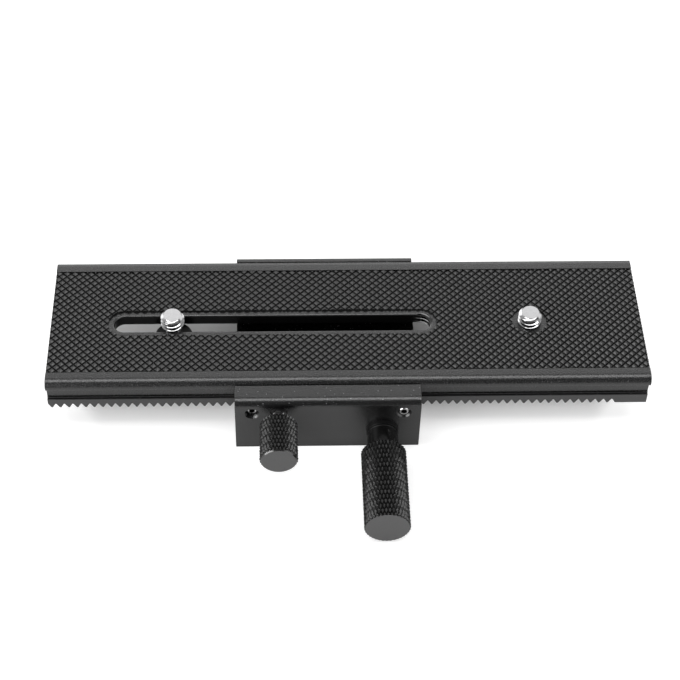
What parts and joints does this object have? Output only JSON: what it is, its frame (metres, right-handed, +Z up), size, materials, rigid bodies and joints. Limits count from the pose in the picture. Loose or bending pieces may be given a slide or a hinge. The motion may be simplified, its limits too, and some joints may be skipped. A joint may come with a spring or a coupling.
{
  "type": "macro focusing rail",
  "caption": "Long grooved rail with padded top, slot and two camera screws, racked through a short carriage by a long side knob and clamped by a short one.",
  "frame": {"origin": "axis of the tripod thread, in the bottom face of the carriage", "axes": "+X along the rail, -Y out of the front face that carries the knobs, +Z up towards the camera"},
  "size_m": [0.16, 0.0841, 0.0222],
  "materials": {
    "anodised_carriage": "satin black anodised",
    "anodised_rail": "satin black anodised",
    "anodised_rack": "satin black anodised, milled teeth",
    "anodised_knob": "black anodised, knurled",
    "pad_rubber": "black, raised diamond pattern",
    "chromed_screw": "bright plated steel",
    "nylon": "black",
    "brass": "machined",
    "bronze": "sintered bronze",
    "black_bush": "black, smooth",
    "black_steel": "black oxide",
    "grub_steel": "bright socket, dark thread",
    "insert_steel": "plated",
    "shaft_steel": "turned and hobbed"
  },
  "bodies": {
    "carriage": {"carriage_body": "anodised_carriage", "gib_strip": "brass", "gib_grub_screws": "grub_steel", "tripod_insert": "insert_steel", "front_bush": "black_bush", "rear_bush": "bronze"},
    "rail": {"rail_plate": "anodised_rail", "grip_pad": "pad_rubber", "rack_strip": "anodised_rack", "rack_screws": "black_steel", "stop_screws": "black_steel"},
    "focus_drive": {"focus_knob": "anodised_knob", "pinion_shaft": "shaft_steel"},
    "clamp_tip": {"lock_tip": "brass"},
    "clamp_knob": {"lock_screw": "black_steel", "lock_knob": "anodised_knob"},
    "slot_washer": {"washer_a": "nylon"},
    "slot_screw": {"camera_screw_a": "chromed_screw"},
    "fixed_washer": {"washer_b": "nylon"},
    "fixed_screw": {"camera_screw_b": "chromed_screw"}
  },
  "joints": [
    {"name": "rail_slide", "type": "slide", "parent": "carriage", "child": "rail", "axis": [1, 0, 0], "range_m": [-0.0558, 0.0442]},
    {"name": "focus_turn", "type": "hinge", "parent": "carriage", "child": "focus_drive", "pos_m": [0.0145, -0.02845, 0.00655], "axis": [0, 1, 0], "range_deg": [-1118, 886]},
    {"name": "clamp_feed", "type": "slide", "parent": "carriage", "child": "clamp_tip", "axis": [0, 1, 0], "range_m": [-0.0014, 0.00024]},
    {"name": "clamp_turn", "type": "hinge", "parent": "clamp_tip", "child": "clamp_knob", "pos_m": [-0.013, -0.02845, 0.0139], "axis": [0, 1, 0], "range_deg": [-722, 126]},
    {"name": "slot_screw_slide", "type": "slide", "parent": "rail", "child": "slot_washer", "axis": [1, 0, 0], "range_m": [-0.0128, 0.0666]},
    {"name": "slot_screw_turn", "type": "hinge", "parent": "slot_washer", "child": "slot_screw", "pos_m": [-0.04145, -0.0007, 0.014], "axis": [0, 0, 1], "continuous": true},
    {"name": "fixed_screw_lift", "type": "slide", "parent": "rail", "child": "fixed_washer", "axis": [0, 0, 1], "range_m": [0, 0.00175]},
    {"name": "fixed_screw_turn", "type": "hinge", "parent": "fixed_washer", "child": "fixed_screw", "pos_m": [0.05535, -0.0007, 0.014], "axis": [0, 0, 1], "continuous": true}
  ],
  "couplings": [
    {"joint": "focus_turn", "follows": "rail_slide", "rad_per_m": 349.07},
    {"joint": "clamp_turn", "follows": "clamp_feed", "rad_per_m": 8976}
  ]
}
